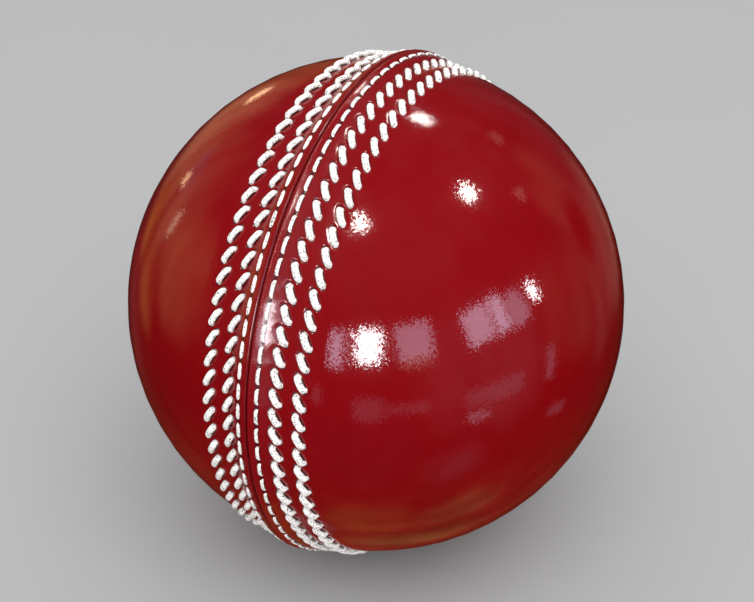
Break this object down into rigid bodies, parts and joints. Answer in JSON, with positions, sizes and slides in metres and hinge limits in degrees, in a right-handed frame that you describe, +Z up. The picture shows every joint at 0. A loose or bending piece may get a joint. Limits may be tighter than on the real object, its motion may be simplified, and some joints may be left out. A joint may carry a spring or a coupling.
{
  "type": "cricket ball",
  "caption": "Hard ball of polished red leather over a quilted cork and wool centre, with a raised upright seam held by rows of white stitches.",
  "frame": {"origin": "centre of the ball", "axes": "+X runs through the crowns of the two leather halves, square to the seam. The seam stands upright in the YZ plane, and +Z is up."},
  "size_m": [0.072, 0.0746, 0.0746],
  "materials": {
    "red_leather": "dyed, waxed and polished to a gloss",
    "white_thread": "waxed twisted thread",
    "cork": "raw granular cork",
    "wool_twine": "tightly wound wool twine",
    "cork_rubber": "moulded, dull"
  },
  "bodies": {
    "root": {"left_leather_half": "red_leather", "right_leather_half": "red_leather", "left_closing_thread": "white_thread", "left_middle_thread": "white_thread", "left_outer_thread": "white_thread", "right_closing_thread": "white_thread", "right_middle_thread": "white_thread", "right_outer_thread": "white_thread", "nucleus": "cork_rubber", "cork_wrap_1": "cork", "wool_winding_1": "wool_twine", "cork_wrap_2": "cork", "wool_winding_2": "wool_twine", "cork_wrap_3": "cork", "wool_winding_3": "wool_twine", "cork_wrap_4": "cork", "wool_winding_4": "wool_twine", "cork_wrap_5": "cork", "wool_winding_5": "wool_twine"}
  },
  "joints": []
}
